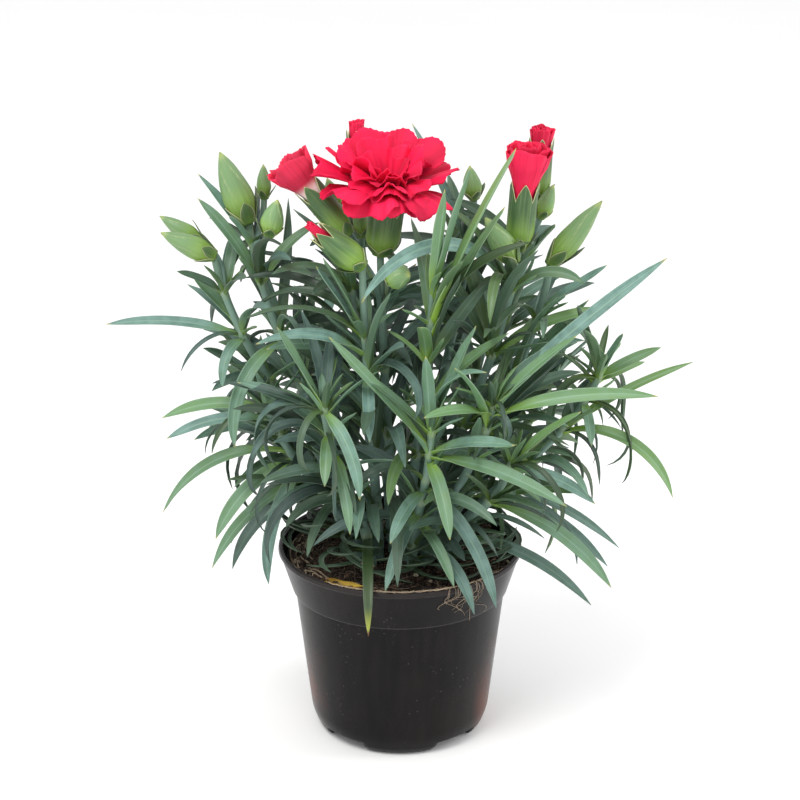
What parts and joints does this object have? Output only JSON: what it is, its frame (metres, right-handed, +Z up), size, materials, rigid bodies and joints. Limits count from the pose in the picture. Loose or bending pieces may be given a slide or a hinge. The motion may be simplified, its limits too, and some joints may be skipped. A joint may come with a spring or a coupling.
{
  "type": "potted dianthus plant",
  "caption": "Bushy carnation plant with narrow blue-green leaves, green buds and crimson ruffled flowers, standing in a black tapered nursery pot.",
  "frame": {"origin": "on the ground under the centre of the pot's foot, which is also the bottom centre of the whole plant's box", "axes": "+Z up, along the pot's axis; -Y is the front of the plant, with the open flower and the overhanging leaves; +X to its right"},
  "size_m": [0.241, 0.144, 0.267],
  "materials": {
    "pot_plastic": "glossy near-black moulded plastic, lightly dusty",
    "soil": "rough, fibrous dark brown peat with pale specks",
    "dead_leaf": "dry yellow-brown leaf",
    "foliage": "waxy blue-green leaf with a pale bloom, yellow-green at the bases and buds",
    "petal": "soft crimson petal with a velvety sheen"
  },
  "bodies": {
    "root": {"pot": "pot_plastic", "soil": "soil", "fallen_leaf": "dead_leaf", "stem_bloom": "foliage", "stem_bud_left": "foliage", "stem_bud_front": "foliage", "stem_bud_behind": "foliage", "stem_bud_right": "foliage", "stem_bud_right_back": "foliage", "stem_bud_long": "foliage", "stem_bud_big": "foliage", "stem_buds_side": "foliage", "stem_bud_back": "foliage", "shoot_tall": "foliage", "shoot_front": "foliage", "shoot_left_low": "foliage", "shoot_left_fan": "foliage", "shoot_right_front": "foliage", "shoot_right": "foliage", "shoot_right_low": "foliage", "shoot_back_left": "foliage", "shoot_back_right": "foliage", "shoot_back": "foliage", "shoot_right_back": "foliage", "shoot_left_back": "foliage", "petals_bloom": "petal", "petals_left": "petal", "petals_front": "petal", "petals_behind": "petal", "petals_right": "petal", "petals_right_back": "petal"}
  },
  "joints": []
}
